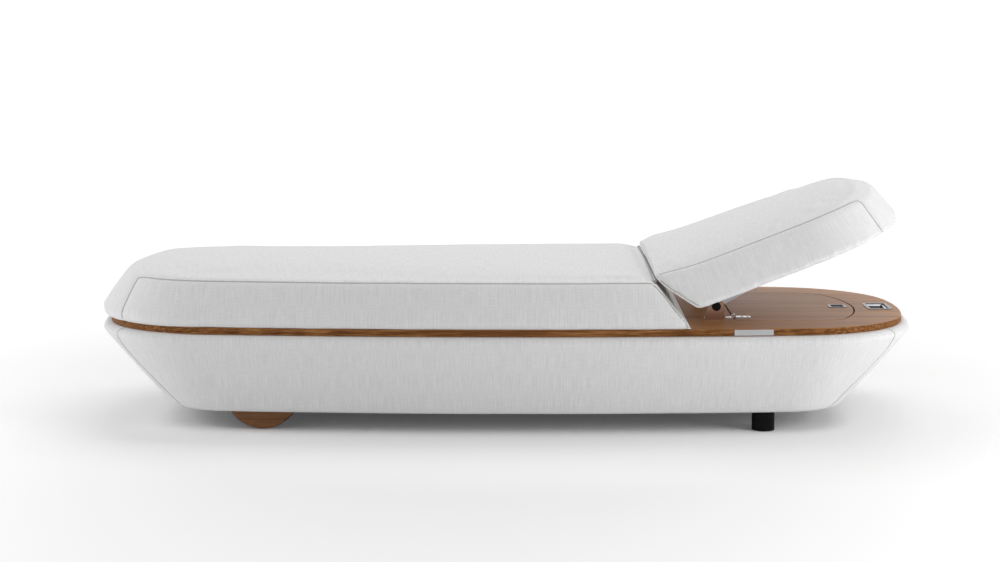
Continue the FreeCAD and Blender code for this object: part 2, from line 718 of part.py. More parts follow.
keeper = cylinder_y(ring_radius, wheel_x, axle_z, ring_low, axle_end)
keeper = keeper.cut(cylinder_y(axle_radius, wheel_x, axle_z, 0.0, axle_end))
save("axle_rings", pair(keeper))
bearer_out = wheel_in - axle_bracket_gap
bearer_in = bearer_out - axle_bracket_thickness
half_bearer = axle_bracket_width / 2
bearer = box(wheel_x - half_bearer, wheel_x + half_bearer, bearer_in, bearer_out,
             board_top, axle_z + axle_bracket_crown)
bearer_tops = [e for e in bearer.Edges
               if abs(e.BoundBox.YLength - axle_bracket_thickness) < 0.01 and e.BoundBox.ZMin > axle_z]
bearer = bearer.makeFillet(axle_bracket_round, bearer_tops)
bearer_foot = box(wheel_x - half_bearer, wheel_x + half_bearer, bearer_in - axle_bracket_foot, bearer_in,
                  board_top, board_top + axle_bracket_thickness)
bearer = bearer.fuse(bearer_foot).cut(cylinder_y(axle_radius, wheel_x, axle_z, 0.0, bearer_out))
save("axle_bracket_back", bearer)
save("axle_bracket_front", mirrored(bearer))

# Legs with glides, each held by a stud and a nut through the bottom board

leg = Part.makeCylinder(leg_radius, base_bottom_height - glide_stand, V(leg_x, leg_offset, glide_stand))
glide = Part.makeCylinder(glide_radius, glide_recess + glide_stand, V(leg_x, leg_offset, 0.0))
stud_low = base_bottom_height - stud_depth
stud = Part.makeCylinder(stud_radius, board_top + stud_rise - stud_low, V(leg_x, leg_offset, stud_low))
nut_low = board_top + washer_thickness
washer = Part.makeCylinder(washer_radius, washer_thickness, V(leg_x, leg_offset, board_top))
corners = [(leg_x + nut_radius * math.cos(math.radians(60 * k)),
            leg_offset + nut_radius * math.sin(math.radians(60 * k))) for k in range(6)]
nut = prism(corners, nut_low, nut_low + nut_height).fuse(washer).cut(stud)
leg = leg.cut(glide).cut(stud)
save("leg_back", leg)
save("leg_front", mirrored(leg))
save("leg_glides", pair(glide))
save("leg_studs", pair(stud))
save("leg_nuts", pair(nut))

print("headrest axis", split_top, axis_z, "stay axis", boss_x, boss_z)
print("lid axis", hinge_x, hinge_z, "pull axis", pull_axis, "handle axis", handle_axis)
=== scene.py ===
# %% [markdown]
# # A sun lounger, dressed for the photograph
#
# The construction comes first: every body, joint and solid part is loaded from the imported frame,
# in metres, with +X towards the head end, +Y to the back and +Z up. The rest of this lesson adds
# what the construction leaves plain: the fabric covers with their seams, the wood, the metal,
# the light and the camera.

# %% load the frame
import json
import math
import bmesh
import bpy
from mathutils import Matrix, Vector, noise
from mathutils.bvhtree import BVHTree
from mathutils.kdtree import KDTree


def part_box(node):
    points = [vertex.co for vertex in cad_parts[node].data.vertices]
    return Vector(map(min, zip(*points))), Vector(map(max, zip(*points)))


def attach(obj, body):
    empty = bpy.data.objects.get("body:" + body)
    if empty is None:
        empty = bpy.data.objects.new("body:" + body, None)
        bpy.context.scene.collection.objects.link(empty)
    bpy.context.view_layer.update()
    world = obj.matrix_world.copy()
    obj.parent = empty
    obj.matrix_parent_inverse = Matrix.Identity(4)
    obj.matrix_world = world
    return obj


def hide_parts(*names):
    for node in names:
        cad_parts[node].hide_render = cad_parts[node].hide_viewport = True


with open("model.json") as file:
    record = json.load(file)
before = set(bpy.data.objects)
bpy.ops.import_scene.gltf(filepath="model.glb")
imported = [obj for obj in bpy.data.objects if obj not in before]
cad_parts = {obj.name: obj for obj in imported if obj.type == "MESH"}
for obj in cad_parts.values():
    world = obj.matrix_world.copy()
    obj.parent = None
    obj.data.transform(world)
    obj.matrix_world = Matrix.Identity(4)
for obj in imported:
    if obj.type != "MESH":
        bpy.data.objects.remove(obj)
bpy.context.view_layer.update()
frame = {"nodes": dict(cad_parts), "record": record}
nodes = frame["nodes"]

# %% [markdown]
# ## The outline that everything follows
#
# Base, deck and cushions share one plan: a long shallow arc on each side, a rounder arc at each
# end and a tight arc at each corner, all tangent. A quarter of it is enough, since both axes
# mirror. Lengths are written in millimetres and turned into metres once, by `mm`.

# %% plan outline


def mm(value):
    """Millimetres as metres."""
    return value / 1000.0


SIDE_RADIUS = mm(7800)
ARC_STEPS = 24
SIDE_STEPS = 48
# Half length, half width, end radius and corner radius of the base, at its bottom and at its widest.
BASE_LOW = (871, 322, 640, 165)
BASE_HIGH = (1037, 418, 785, 293)
# The head cushion tilts about this axis, and the photograph shows it tilted by this angle.
AXIS_X = mm(364)
AXIS_Z = mm(387)
HEAD_REST_TILT = math.radians(20.5)
DECK_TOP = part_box("deck_board")[1].z


def arc_points(centre, radius, first, last, steps):
    """Points on an arc from one angle to another."""
    points = []
    for i in range(steps + 1):
        angle = first + (last - first) * i / steps
        points.append(Vector((centre[0] + radius * math.cos(angle), centre[1] + radius * math.sin(angle))))
    return points


def quarter_outline(half_length, half_width, end_radius, corner_radius):
    """A quarter of the plan, from the middle of the end to the middle of the side."""
    side_y = half_width - SIDE_RADIUS
    end_x = half_length - end_radius
    reach_side = SIDE_RADIUS - corner_radius
    reach_end = end_radius - corner_radius
    span = math.hypot(end_x, side_y)
    along = (reach_side ** 2 - reach_end ** 2 + span ** 2) / (2 * span)
    across = math.sqrt(reach_side ** 2 - along ** 2)
    ux = end_x / span
    uy = -side_y / span
    choices = []
    for sign in (1, -1):
        choices.append((along * ux + sign * across * uy, side_y + along * uy - sign * across * ux))
    corner = max(choices, key=sum)
    end_angle = math.atan2(corner[1], corner[0] - end_x)
    side_angle = math.atan2(corner[1] - side_y, corner[0])
    points = arc_points((end_x, 0.0), end_radius, 0.0, end_angle, ARC_STEPS)
    points += arc_points(corner, corner_radius, end_angle, side_angle, ARC_STEPS)[1:]
    points += arc_points((0.0, side_y), SIDE_RADIUS, side_angle, math.pi / 2, SIDE_STEPS)[1:]
    return points


def resample(points, shares):
    """Points at the given shares of a polyline's length."""
    lengths = [0.0]
    for a, b in zip(points, points[1:]):
        lengths.append(lengths[-1] + (b - a).length)
    found = []
    i = 0
    for share in shares:
        target = share * lengths[-1]
        while i < len(points) - 2 and lengths[i + 1] < target:
            i += 1
        step = max(lengths[i + 1] - lengths[i], 1e-9)
        found.append(points[i].lerp(points[i + 1], (target - lengths[i]) / step))
    return found


print("quarter outline has", len(quarter_outline(*[mm(v) for v in BASE_HIGH])), "points")

# %% [markdown]
# ## Materials
#
# Colours are written as sRGB hex and turned into linear light by one function. Patterns use the
# object's own coordinates, or the fabric's own map, which are both in metres. So their scales come
# from real sizes: a streak of 4 mm has a frequency of 250 per metre.

# %% material helpers


def linear(hex_code):
    """sRGB hex as linear RGBA."""
    channels = []
    for i in (1, 3, 5):
        c = int(hex_code[i:i + 2], 16) / 255.0
        channels.append(c / 12.92 if c <= 0.04045 else ((c + 0.055) / 1.055) ** 2.4)
    return (*channels, 1.0)


def add(tree, kind, values=None, **settings):
    """A new node with its settings and the values of its inputs."""
    node = tree.nodes.new(kind)
    for key, value in settings.items():
        setattr(node, key, value)
    for key, value in (values or {}).items():
        node.inputs[key].default_value = value
    return node


def new_material(name, colour, roughness, metallic=0.0):
    """A named material with a principled surface."""
    material = bpy.data.materials.new(name)
    material.use_nodes = True
    tree = material.node_tree
    surface = tree.nodes["Principled BSDF"]
    surface.inputs["Base Color"].default_value = linear(colour)
    surface.inputs["Roughness"].default_value = roughness
    surface.inputs["Metallic"].default_value = metallic
    return material, tree, surface


def stretched_noise(tree, coordinates, per_metre, detail):
    """Noise whose grain has its own frequency along each axis, in cycles per metre."""
    mapping = add(tree, "ShaderNodeMapping", {"Scale": per_metre})
    grain = add(tree, "ShaderNodeTexNoise", {"Scale": 1.0, "Detail": detail, "Roughness": 0.55})
    tree.links.new(coordinates, mapping.inputs["Vector"])
    tree.links.new(mapping.outputs["Vector"], grain.inputs["Vector"])
    return grain.outputs["Fac"]


def calculate(tree, operation, a, b):
    """A math node on two sockets, or on a socket and a number."""
    node = add(tree, "ShaderNodeMath", operation=operation)
    for socket, value in zip(node.inputs, (a, b)):
        if isinstance(value, float):
            socket.default_value = value
        else:
            tree.links.new(value, socket)
    return node.outputs["Value"]


def ramp(tree, value, stops):
    """A colour ramp from (position, hex) stops."""
    node = add(tree, "ShaderNodeValToRGB")
    while len(node.color_ramp.elements) < len(stops):
        node.color_ramp.elements.new(0.5)
    for element, (position, colour) in zip(node.color_ramp.elements, stops):
        element.position = position
        element.color = linear(colour)
    tree.links.new(value, node.inputs["Fac"])
    return node.outputs["Color"]


def raise_surface(tree, surface, height, strength, depth):
    """Bump from a height between 0 and 1."""
    bump = add(tree, "ShaderNodeBump", {"Strength": strength, "Distance": depth})
    tree.links.new(height, bump.inputs["Height"])
    tree.links.new(bump.outputs["Normal"], surface.inputs["Normal"])


print("material helpers ready")

# %% [markdown]
# White outdoor fabric is a slub weave: the threads vary in thickness, so faint streaks show. Each
# cover carries a map named `weave`, in metres: along the cover's outline and up its side, or
# along and across on top. So the warp stands upright all round, and the weft crosses it in
# shorter runs.

# %% woven fabric
# The real threads are finer than the photograph can show, so they are drawn coarser here, about
# as wide as one of its pixels, to let the weave show.
THREAD_WIDTH = mm(2.1)
STREAK_LENGTH = mm(55)
THREAD_SPACING = mm(3.2)
WARP_SHARE = 0.66
WEFT_SHARE = 0.34
WEFT_RUNS = 2.5
RIB_SHARE = 0.12
WEAVE_DEPTH = mm(0.8)


def thread_ribs(tree, coordinates, direction):
    """Even ribs, one for each thread; a wave of scale 1 repeats every 2 pi / 20."""
    scale = 2.0 * math.pi / 20.0 / THREAD_SPACING
    ribs = add(tree, "ShaderNodeTexWave", {"Scale": scale, "Distortion": 0.6, "Detail Scale": 0.1},
               bands_direction=direction)
    tree.links.new(coordinates, ribs.inputs["Vector"])
    return calculate(tree, "MULTIPLY", ribs.outputs["Fac"], RIB_SHARE)


def woven(name, light, dark):
    """Slub weave on the cover's own map."""
    material, tree, surface = new_material(name, light, 0.86)
    coordinates = add(tree, "ShaderNodeUVMap", uv_map="weave").outputs["UV"]
    warp = stretched_noise(tree, coordinates, (1.0 / THREAD_WIDTH, 1.0 / STREAK_LENGTH, 1.0), 2.0)
    weft = stretched_noise(tree, coordinates, (WEFT_RUNS / STREAK_LENGTH, 1.0 / THREAD_WIDTH, 1.0), 2.0)
    upright = calculate(tree, "MULTIPLY", warp, WARP_SHARE)
    across = calculate(tree, "MULTIPLY", weft, WEFT_SHARE)
    slubs = calculate(tree, "ADD", upright, across)
    ribs = calculate(tree, "ADD", thread_ribs(tree, coordinates, "X"), thread_ribs(tree, coordinates, "Y"))
    weave = calculate(tree, "ADD", slubs, ribs)
    colour = ramp(tree, weave, [(0.44, dark), (0.8, light)])
    tree.links.new(colour, surface.inputs["Base Color"])
    raise_surface(tree, surface, weave, 0.35, WEAVE_DEPTH)
    surface.inputs["Sheen Weight"].default_value = 0.08
    surface.inputs["Sheen Roughness"].default_value = 0.6
    return material


FABRIC = woven("white_slub_outdoor_fabric", "#F1F1F1", "#DEDEDF")
THREAD = new_material("white_sewing_thread", "#EDEDEB", 0.7)[0]
print("fabrics:", FABRIC.name, THREAD.name)

# %% [markdown]
# The deck and the wheel faces are teak under a satin varnish. Growth rings are broad streaks
# along the board, and the pores are short dark dashes of about 1 mm. The deck's edge is oiled,
# so it is darker than the top.

# %% wood
RINGS_PER_METRE = 0.9
PORES_PER_METRE = 28.0
PORE_SHARE = 0.35
PORE_DEPTH = mm(0.4)


def varnished_wood(name, stops, ring, pore, roughness, gloss):
    """Wood with its grain along X; ring and pore are streak widths in metres."""
    material, tree, surface = new_material(name, stops[1][1], roughness)
    coordinates = add(tree, "ShaderNodeTexCoord").outputs["Object"]
    rings = stretched_noise(tree, coordinates, (RINGS_PER_METRE, 1.0 / ring, 1.0 / ring), 5.0)
    pores = stretched_noise(tree, coordinates, (PORES_PER_METRE, 1.0 / pore, 1.0 / pore), 2.0)
    mixed = calculate(tree, "MULTIPLY", pores, PORE_SHARE)
    mixed = calculate(tree, "ADD", rings, mixed)
    mixed = calculate(tree, "SUBTRACT", mixed, PORE_SHARE / 2)
    tree.links.new(ramp(tree, mixed, stops), surface.inputs["Base Color"])
    raise_surface(tree, surface, pores, 0.12, PORE_DEPTH)
    surface.inputs["Specular IOR Level"].default_value = gloss
    return material


TEAK_STOPS = [(0.3, "#98673D"), (0.5, "#AE7B4C"), (0.7, "#BF8D5E")]
TEAK = varnished_wood("satin_varnished_teak", TEAK_STOPS, mm(22), mm(1.6), roughness=0.38, gloss=0.14)
EDGE_STOPS = [(0.34, "#583314"), (0.5, "#7A4E28"), (0.66, "#A57446")]
TEAK_EDGE = varnished_wood("dark_oiled_teak_edge", EDGE_STOPS, mm(4), mm(1.2), roughness=0.5, gloss=0.12)
WHEEL_STOPS = [(0.32, "#5C3B22"), (0.5, "#7A5233"), (0.68, "#946944")]
WHEEL_TEAK = varnished_wood("turned_teak_wheel_face", WHEEL_STOPS, mm(10), mm(1.4), roughness=0.4, gloss=0.25)
PLY_STOPS = [(0.3, "#A17C52"), (0.5, "#B28C60"), (0.7, "#C09C70")]
PLYWOOD = varnished_wood("marine_plywood", PLY_STOPS, mm(12), mm(1.2), roughness=0.6, gloss=0.2)
print("woods:", TEAK.name, TEAK_EDGE.name, WHEEL_TEAK.name, PLYWOOD.name)

# %% [markdown]
# Hardware comes in seven finishes. A fine noise breaks up each one a little: brushing on the satin
# steel, grain on the powder coat, a dusty tooth on the rubber. Two finishes carry painted light: a
# painted reflection of the deck's wood on the bracket plates, and painted recess shade in the handle
# dishes. Welt and dust cloth are fabrics too fine to show threads, so they are made the same way; the
# welt's grey is painted shade along the seams.

# %% metal, plastic and rubber


def grained(name, colour, roughness, metallic, grain, depth):
    """A plain finish with a fine grain of the given sizes along each axis, in metres."""
    material, tree, surface = new_material(name, colour, roughness, metallic)
    coordinates = add(tree, "ShaderNodeTexCoord").outputs["Object"]
    tooth = stretched_noise(tree, coordinates, [1.0 / size for size in grain], 2.0)
    spread = calculate(tree, "MULTIPLY", tooth, 0.2)
    spread = calculate(tree, "ADD", spread, roughness - 0.1)
    tree.links.new(spread, surface.inputs["Roughness"])
    raise_surface(tree, surface, tooth, 0.2, depth)
    surface.inputs["Specular IOR Level"].default_value = 0.5 if metallic else 0.1
    return material


POLISHED = grained("polished_stainless_steel", "#C9CACC", 0.12, 1.0, (0.05, 0.05, 0.05), 0.00005)
SATIN = grained("satin_stainless_steel", "#C3C4C6", 0.36, 1.0, (0.03, 0.0008, 0.0008), 0.00004)
BLACK_METAL = grained("black_powder_coat", "#0B0B0D", 0.55, 0.0, (0.0012, 0.0012, 0.0012), 0.0001)
BLACK_PLASTIC = grained("moulded_black_plastic", "#161618", 0.42, 0.0, (0.0015, 0.0015, 0.0015), 0.0001)
RUBBER = grained("matt_black_rubber", "#151515", 0.78, 0.0, (0.002, 0.002, 0.002), 0.0003)
# The welt's grey is painted shade: it darkens every seam and the hinge fold as a thin line.
WELT = grained("grey_white_fabric_welt", "#BDBDB9", 0.85, 0.0, (0.0012, 0.0012, 0.0012), 0.0003)
DUST_CLOTH = grained("grey_dust_cloth", "#A2A2A4", 0.85, 0.0, (0.002, 0.002, 0.002), 0.0002)
# The bracket plates stand on the deck and mirror its wood, so a painted reflection of the wood makes their
# faces warm and brown.
PLATE_PAINTED_WOOD_REFLECTION = grained("warm_polished_steel_plate", "#A98672", 0.2, 1.0, (0.05, 0.05, 0.05), 0.00005)
# The handle dishes are rougher than the bails in them, and their steel is painted darker as shade in the
# recess, so they look mid grey.
DULL_DISH_PAINTED_SHADE = grained("dull_stainless_steel", "#8A8B8E", 0.3, 1.0, (0.01, 0.01, 0.01), 0.00005)
FINISHES = {
    "outdoor_fabric": FABRIC,
    "plywood": PLYWOOD,
    "deck_wood": TEAK,
    "wheel_wood": WHEEL_TEAK,
    "tyre_rubber": RUBBER,
    "black_metal": BLACK_METAL,
    "black_plastic": BLACK_PLASTIC,
    "polished_steel": POLISHED,
    "satin_steel": SATIN,
}
for part in frame["record"]["subparts"]:
    node = nodes[part["node"]]
    node.data.materials.clear()
    node.data.materials.append(FINISHES[part["material_slot"]])


def second_finish(node_name, material, takes):
    """Gives a second finish to the faces of a part whose normal the test takes."""
    data = nodes[node_name].data
    data.materials.append(material)
    for polygon in data.polygons:
        polygon.material_index = 1 if takes(polygon.normal) else 0


second_finish("deck_board", TEAK_EDGE, lambda normal: abs(normal.z) < 0.5)
second_finish("bottom_board", DUST_CLOTH, lambda normal: normal.z < -0.5)
# The plates' broad faces take the painted reflection of the deck's wood.
for plate in ("bracket_front", "bracket_back"):
    second_finish(plate, PLATE_PAINTED_WOOD_REFLECTION, lambda normal: abs(normal.y) > 0.5)
# The handle dishes take the painted recess shade on all their faces.
for dish in ("lid_pull_dish", "lift_handle_dish"):
    second_finish(dish, DULL_DISH_PAINTED_SHADE, lambda normal: True)

# %% [markdown]
# ## The upholstered base
#
# Four panels make the base: two long sides and two ends. Each is a closed skin, laid out as a
# grid: rows go up the profile and back down the inside, columns run from seam to seam. Near a
# seam the skin dips in by 2 mm, and the fabric waves very slightly, as stretched cloth does.

# %% base panels
SEAM_Y = mm(238)
SEAM_TURN_FROM = mm(195)
SEAM_TURN_RISE = mm(50)
SEAM_TURN_OUT = mm(28)
BASE_BOTTOM = mm(50)
BASE_WIDEST = mm(241)
# Each row is a height and how far the skin lies inside the plan there, in millimetres.
BASE_ROWS = [
    (52, 20), (50.2, 11), (50.4, 6.2), (52.2, 3.3), (55, 1.3), (59, 0.3), (68, 0), (92, -0.4), (120, -0.8),
    (145, -1), (170, -1), (195, -0.6), (215, -0.2), (228, 0), (237, 0.3), (243, 1.2), (248, 3.4),
    (252, 7), (255.3, 12.5), (257.2, 20),
]
BASE_LINING = [(256, 34), (240, 15), (200, 14), (150, 13.5), (100, 13.5), (64, 14), (54, 22)]
# Columns stand this far from a seam, in metres, and then at an even step.
SEAM_COLUMNS = [0.0, 0.002, 0.004, 0.007, 0.011, 0.017, 0.027]
PANEL_STEP = mm(22)
WAVES_PER_METRE = 5.0
WAVE_HEIGHT = mm(1.3)
PUCKERS_PER_METRE = 38.0
PUCKER_HEIGHT = mm(1.2)
PUCKER_START = mm(4)
PUCKER_REACH = mm(30)
DIP_DEPTH = mm(2.2)
DIP_WIDTH = mm(4.5)


def base_outline(z, inset):
    """Quarter of the base's plan at a height, drawn in by inset."""
    share = min((z - BASE_BOTTOM) / (BASE_WIDEST - BASE_BOTTOM), 1.0)
    plan = [mm(low + (high - low) * share) - inset for low, high in zip(BASE_LOW, BASE_HIGH)]
    return quarter_outline(*plan)


def seam_place(z):
    """How far the seam stands from the middle plane: it turns out a little near the top."""
    share = min(max((z - SEAM_TURN_FROM) / SEAM_TURN_RISE, 0.0), 1.0)
    return SEAM_Y + SEAM_TURN_OUT * share * share * (3.0 - 2.0 * share)


def cut_at_seam(quarter, y):
    """The quarter's end part and side part, cut where it crosses the seam."""
    for i, (a, b) in enumerate(zip(quarter, quarter[1:])):
        if b.y >= y:
            seam = a.lerp(b, (y - a.y) / (b.y - a.y))
            return quarter[:i + 1] + [seam], [seam] + quarter[i + 1:]


def panel_run(z, inset, is_end):
    """Plan line of one panel from seam to seam: the head end, or the front side."""
    end_part, side_part = cut_at_seam(base_outline(z, inset), seam_place(z))
    if is_end:
        return list(reversed(end_part)) + [Vector((p.x, -p.y)) for p in end_part[1:]]
    first = [Vector((p.x, -p.y)) for p in side_part]
    return first + [Vector((-p.x, -p.y)) for p in reversed(side_part[:-1])]


def column_shares(length):
    """Shares of a panel's length, close together at its two seams."""
    margin = SEAM_COLUMNS[-1]
    count = max(2, round((length - 2 * margin) / PANEL_STEP))
    middle = [margin + (length - 2 * margin) * i / count for i in range(1, count)]
    distances = SEAM_COLUMNS + middle + [length - d for d in reversed(SEAM_COLUMNS)]
    return [d / length for d in distances]


def grid_object(name, rows, material):
    """A closed skin from rows of points; the rows close on themselves and the ends are capped."""
    mesh = bmesh.new()
    grid = [[mesh.verts.new(p) for p in row] for row in rows]
    for i, row in enumerate(grid):
        following = grid[(i + 1) % len(grid)]
        for j in range(len(row) - 1):
            mesh.faces.new((row[j], row[j + 1], following[j + 1], following[j]))
    mesh.faces.new([row[0] for row in grid])
    mesh.faces.new([row[-1] for row in reversed(grid)])
    bmesh.ops.recalc_face_normals(mesh, faces=mesh.faces)
    for face in mesh.faces:
        face.smooth = len(face.verts) == 4
    return finished_object(name, mesh, material)


def finished_object(name, mesh, material):
    """The bmesh as an object of the scene, at the origin."""
    data = bpy.data.meshes.new(name)
    mesh.to_mesh(data)
    mesh.free()
    data.materials.append(material)
    made = bpy.data.objects.new(name, data)
    bpy.context.scene.collection.objects.link(made)
    return made


def outline_loop():
    """The whole plan at the widest height, from the middle of the back all the way round."""
    quarter = base_outline(BASE_WIDEST, 0.0)
    loop = list(reversed(quarter)) + [Vector((p.x, -p.y)) for p in quarter[1:]]
    loop += [Vector((-p.x, -p.y)) for p in reversed(quarter[:-1])]
    return loop + [Vector((-p.x, p.y)) for p in quarter[1:]]


LOOP = outline_loop()
LOOP_LENGTH = sum((b - a).length for a, b in zip(LOOP, LOOP[1:]))
LOOP_STEPS = 10000
LEVEL_NORMAL = 0.7
LOOP_TREE = KDTree(LOOP_STEPS)
for i, point in enumerate(resample(LOOP, [i / LOOP_STEPS for i in range(LOOP_STEPS)])):
    LOOP_TREE.insert((point.x, point.y, 0.0), i)
LOOP_TREE.balance()


def weave_map(cover, lying):
    """Gives a cover its map; lying turns a point to where the cover lies flat."""
    layer = cover.data.uv_layers.new(name="weave")
    flat = [lying(v.co) for v in cover.data.vertices]
    along = [LOOP_TREE.find((p.x, p.y, 0.0))[1] * LOOP_LENGTH / LOOP_STEPS for p in flat]
    for polygon in cover.data.polygons:
        a, b, c = [flat[i] for i in polygon.vertices[:3]]
        is_level = abs((b - a).cross(c - a).normalized().z) > LEVEL_NORMAL
        for loop, i in zip(polygon.loop_indices, polygon.vertices):
            layer.data[loop].uv = flat[i].xy if is_level else (along[i], flat[i].z)


def dressed_row(level, inset, shares, length, is_end, turned, is_outside):
    """One row of a panel: the plan line with the seam's dip and the cloth's waves."""
    line = resample(panel_run(level, inset, is_end), shares)
    row = []
    for i, point in enumerate(line):
        ahead = line[min(i + 1, len(line) - 1)] - line[max(i - 1, 0)]
        outward = Vector((-ahead.y, ahead.x)).normalized()
        if outward.dot(point) < 0:
            outward = -outward
        off_seam = min(shares[i], 1.0 - shares[i]) * length
        shift = 0.0
        if is_outside:
            place = Vector((point.x, point.y, level))
            wave = noise.noise(place * WAVES_PER_METRE) * WAVE_HEIGHT
            pucker = noise.noise(place * PUCKERS_PER_METRE) * PUCKER_HEIGHT
            pucker *= math.exp(-off_seam / PUCKER_REACH)
            dip = DIP_DEPTH * math.exp(-(off_seam / DIP_WIDTH) ** 2)
            shift = wave + pucker * min(off_seam / PUCKER_START, 1.0) - dip
        point = point + outward * shift
        sign = -1.0 if turned else 1.0
        row.append(Vector((sign * point.x, sign * point.y, level)))
    return row


def base_panel(name, node, is_end, turned):
    """One upholstered panel that stands for its CAD node."""
    widest = panel_run(BASE_WIDEST, 0.0, is_end)
    length = sum((b - a).length for a, b in zip(widest, widest[1:]))
    shares = column_shares(length)
    rows = [dressed_row(mm(z), mm(tuck), shares, length, is_end, turned, True) for z, tuck in BASE_ROWS]
    rows += [dressed_row(mm(z), mm(tuck), shares, length, is_end, turned, False) for z, tuck in BASE_LINING]
    panel = grid_object(name, rows, FABRIC)
    weave_map(panel, Vector)
    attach(panel, "base")
    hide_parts(node)
    print(name, len(panel.data.polygons), "faces")
    return panel


PANELS = {
    "base_cover_front": base_panel("base_cover_front", "base_panel_front", False, False),
    "base_cover_back": base_panel("base_cover_back", "base_panel_back", False, True),
    "base_cover_head": base_panel("base_cover_head", "base_panel_head", True, False),
    "base_cover_foot": base_panel("base_cover_foot", "base_panel_foot", True, True),
}

# %% [markdown]
# ## The mattress and the head cushion
#
# Both cushions start as their solid parts. The surface is laid out again in even quads, and a
# short cloth simulation blows the cover up a little, with the underside held on its board. No
# point may move further than 9 mm, so the cushions keep their fit.

# %% cushion helpers
MERGE_DISTANCE = mm(0.05)
FURTHEST_PUFF = mm(9)
PUFF_FRAMES = 20
COPY_ROUNDS = 5
CALM_ROUNDS = 4
EDGE_ROUNDS = 7
LAST_ROUNDS = 2
FIRST_FILL = 0.95
LAST_FILL = 0.9
CLOTH_WAVES_PER_METRE = 7.0
CLOTH_WAVE_HEIGHT = mm(0.8)


def flat_head(point):
    """A point of the head cushion, turned back to where it lies flat."""
    return turn_head(point, HEAD_REST_TILT)


def raised_head(point):
    """A point drawn on the flat head cushion, turned to its place at rest."""
    return turn_head(point, -HEAD_REST_TILT)


def turn_head(point, angle):
    """A point turned about the tilt axis."""
    axis = Vector((AXIS_X, 0.0, AXIS_Z))
    return axis + Matrix.Rotation(angle, 3, "Y") @ (Vector(point) - axis)


def made_plain(holder):
    """The object's mesh with its modifiers worked in, and the modifiers gone."""
    graph = bpy.context.evaluated_depsgraph_get()
    data = bpy.data.meshes.new_from_object(holder.evaluated_get(graph))
    holder.modifiers.clear()
    holder.data = data
    return holder


def add_smoothing(cushion, rounds):
    """A modifier that evens the cover out."""
    relax = cushion.modifiers.new("relax", "SMOOTH")
    relax.factor = 0.5
    relax.iterations = rounds


def even_copy(name, node, size):
    """A copy of a solid part, in even quads of the given size."""
    mesh = bmesh.new()
    mesh.from_mesh(nodes[node].data)
    bmesh.ops.remove_doubles(mesh, verts=mesh.verts, dist=MERGE_DISTANCE)
    copy = finished_object(name, mesh, FABRIC)
    remesh = copy.modifiers.new("even_quads", "REMESH")
    remesh.mode = "VOXEL"
    remesh.voxel_size = size
    made_plain(copy)
    add_smoothing(copy, COPY_ROUNDS)
    return made_plain(copy)


def puffed(cushion, held):
    """Blows the cover up by a cloth simulation; held says how firmly a point is held."""
    before = [v.co.copy() for v in cushion.data.vertices]
    group = cushion.vertex_groups.new(name="held")
    for i, point in enumerate(before):
        group.add([i], held(point), "REPLACE")
    cloth = cushion.modifiers.new("puff", "CLOTH")
    cloth.settings.quality = 4
    cloth.settings.mass = 0.3
    cloth.settings.tension_stiffness = 30.0
    cloth.settings.compression_stiffness = 30.0
    cloth.settings.bending_stiffness = 0.6
    cloth.settings.use_pressure = True
    cloth.settings.uniform_pressure_force = 4.0
    cloth.settings.vertex_group_mass = "held"
    cloth.settings.effector_weights.gravity = 0.0
    cloth.point_cache.frame_start = 1
    cloth.point_cache.frame_end = PUFF_FRAMES
    for step in range(1, PUFF_FRAMES + 1):
        bpy.context.scene.frame_set(step)
    made_plain(cushion)
    bpy.context.scene.frame_set(1)
    cushion.vertex_groups.clear()
    for vertex, old in zip(cushion.data.vertices, before):
        moved = vertex.co - old
        if moved.length > FURTHEST_PUFF:
            vertex.co = old + moved * (FURTHEST_PUFF / moved.length)


def finer(cushion):
    """Smooths the cover and divides its quads once."""
    add_smoothing(cushion, CALM_ROUNDS)
    divide = cushion.modifiers.new("divide", "SUBSURF")
    divide.levels = 1
    divide.render_levels = 1
    made_plain(cushion)
    for polygon in cushion.data.polygons:
        polygon.use_smooth = True
    cushion.data.materials.clear()
    cushion.data.materials.append(FABRIC)


def fill_out(cushion, node, share):
    """Brings points that sank below the solid part's surface back to it."""
    solid = bmesh.new()
    solid.from_mesh(nodes[node].data)
    tree = BVHTree.FromBMesh(solid)
    solid.free()
    for vertex in cushion.data.vertices:
        place, normal, _, _ = tree.find_nearest(vertex.co)
        lack = place - vertex.co
        if lack.dot(normal) > 0.0:
            vertex.co += lack * share


def smoothed(cushion, rounds):
    """Evens the cover out."""
    add_smoothing(cushion, rounds)
    made_plain(cushion)


def soften(cushion, node):
    """Fills the cover to its solid part, rounds its edges and lets the cloth wave a little."""
    fill_out(cushion, node, FIRST_FILL)
    smoothed(cushion, EDGE_ROUNDS)
    fill_out(cushion, node, LAST_FILL)
    smoothed(cushion, LAST_ROUNDS)
    for vertex, normal in zip(cushion.data.vertices, [v.normal.copy() for v in cushion.data.vertices]):
        vertex.co += normal * noise.noise(vertex.co * CLOTH_WAVES_PER_METRE) * CLOTH_WAVE_HEIGHT


print("cushion helpers ready")

# %% [markdown]
# The mattress is held where it lies on the deck and along its sloped head end. The head cushion
# is held over its board, so the pockets that take the support stay open.

# %% cushions blown up
COARSE = mm(11.5)
HEAD_UNDER = mm(291)
HEAD_LEAN = math.radians(24.5)
# The parting between the cushions slopes by this run over this drop.
SPLIT_RUN = 88.0
SPLIT_DROP = 113.0
PARTING_GAP = mm(0.5)
DECK_GAP = mm(0.3)
# The covers are held this close to their boards and to the parting, and over the head's pockets.
HOLD_UNDER = mm(6)
HOLD_END = mm(12)
POCKET_HEIGHT = mm(60)
POCKET_HALF_WIDTH = mm(350)
POCKET_FROM = mm(400)
POCKET_TO = mm(930)


